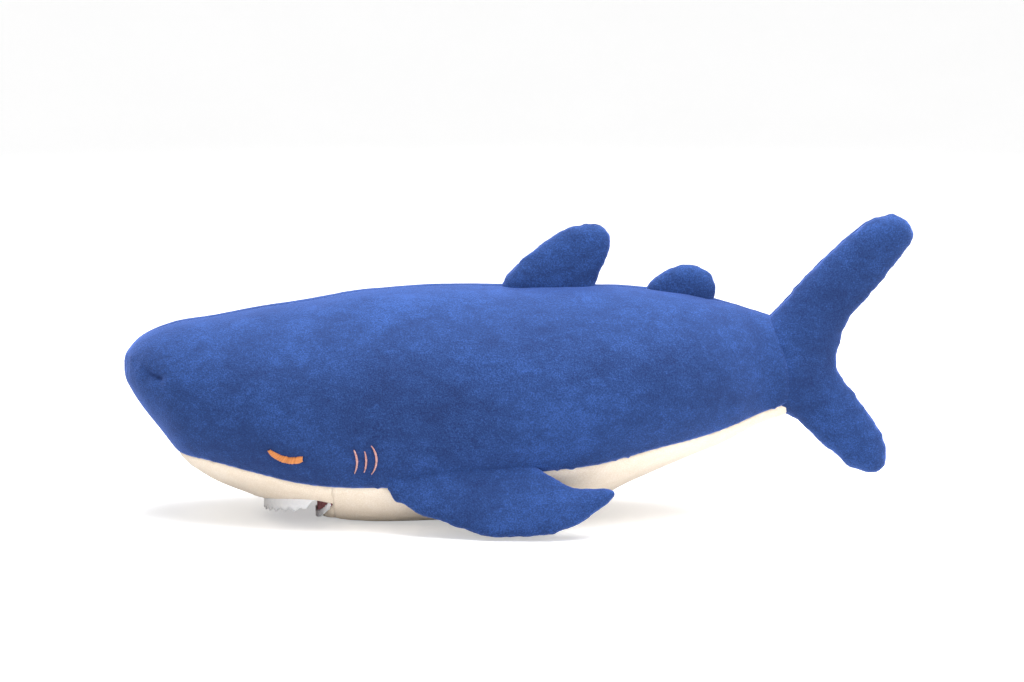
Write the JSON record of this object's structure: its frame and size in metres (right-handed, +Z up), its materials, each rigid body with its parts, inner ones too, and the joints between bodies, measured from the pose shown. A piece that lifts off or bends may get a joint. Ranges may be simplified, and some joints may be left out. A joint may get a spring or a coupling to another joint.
{
  "type": "plush shark",
  "caption": "Soft stuffed shark with a flat-bottomed padded body, sewn-on fins and tail that bend at their seams, a lined mouth with felt teeth and embroidered eyes and gills.",
  "frame": {"origin": "on the flat resting face of the belly, below the middle of the body", "axes": "-X towards the nose, +X towards the tail, +Z up, -Y to the shark's left side"},
  "size_m": [0.5964, 0.211, 0.2319],
  "materials": {
    "navy_plush": "short-pile plush with brushed light and dark patches",
    "cream_plush": "short-pile plush",
    "white_felt": "cut felt",
    "dark_red_lining": "short-pile plush lining",
    "orange_thread": "glossy satin stitch",
    "pink_thread": "satin stitch",
    "sewing_thread": "matt sewing thread",
    "label_tape": "woven satin tape, blank",
    "polyester_filling": "loose fibre filling"
  },
  "bodies": {
    "torso": {"back_panel_left": "navy_plush", "back_panel_right": "navy_plush", "snout_underside_panel": "cream_plush", "belly_panel": "cream_plush", "body_stuffing": "polyester_filling", "mouth_lining": "dark_red_lining", "upper_teeth": "white_felt", "lower_teeth": "white_felt", "eye_embroidery_left": "orange_thread", "eye_embroidery_right": "orange_thread", "gill_embroidery_left": "pink_thread", "gill_embroidery_right": "pink_thread", "closing_stitches": "sewing_thread", "care_label": "label_tape"},
    "tail": {"tail_fin_panel_left": "navy_plush", "tail_fin_panel_right": "navy_plush", "tail_fin_stuffing": "polyester_filling"},
    "dorsal_fin": {"dorsal_fin_panel_left": "navy_plush", "dorsal_fin_panel_right": "navy_plush", "dorsal_fin_stuffing": "polyester_filling"},
    "rear_dorsal_fin": {"rear_dorsal_fin_panel_left": "navy_plush", "rear_dorsal_fin_panel_right": "navy_plush", "rear_dorsal_fin_stuffing": "polyester_filling"},
    "pectoral_fin_left": {"pectoral_left_outer_panel": "navy_plush", "pectoral_left_inner_panel": "navy_plush", "pectoral_left_stuffing": "polyester_filling"},
    "pectoral_fin_right": {"pectoral_right_outer_panel": "navy_plush", "pectoral_right_inner_panel": "navy_plush", "pectoral_right_stuffing": "polyester_filling"}
  },
  "joints": [
    {"name": "tail_swing", "type": "hinge", "parent": "torso", "child": "tail", "pos_m": [0.2006, 0, 0.118], "axis": [0, 0, 1], "range_deg": [-30, 30], "stiffness_Nm_per_rad": 0.6},
    {"name": "dorsal_fin_flop", "type": "hinge", "parent": "torso", "child": "dorsal_fin", "pos_m": [0.024, 0, 0.186], "axis": [1, 0, 0], "range_deg": [-40, 40], "stiffness_Nm_per_rad": 0.12},
    {"name": "rear_dorsal_fin_flop", "type": "hinge", "parent": "torso", "child": "rear_dorsal_fin", "pos_m": [0.097, 0, 0.1828], "axis": [0.9833, 0, -0.1822], "range_deg": [-35, 35], "stiffness_Nm_per_rad": 0.05},
    {"name": "pectoral_left_flap", "type": "hinge", "parent": "torso", "child": "pectoral_fin_left", "pos_m": [-0.0956, -0.0832, 0.024], "axis": [-0.9936, 0.0278, -0.1097], "range_deg": [-10, 65], "stiffness_Nm_per_rad": 0.25},
    {"name": "pectoral_right_flap", "type": "hinge", "parent": "torso", "child": "pectoral_fin_right", "pos_m": [-0.0956, 0.0832, 0.024], "axis": [0.9936, 0.0278, 0.1097], "range_deg": [-10, 65], "stiffness_Nm_per_rad": 0.25}
  ]
}
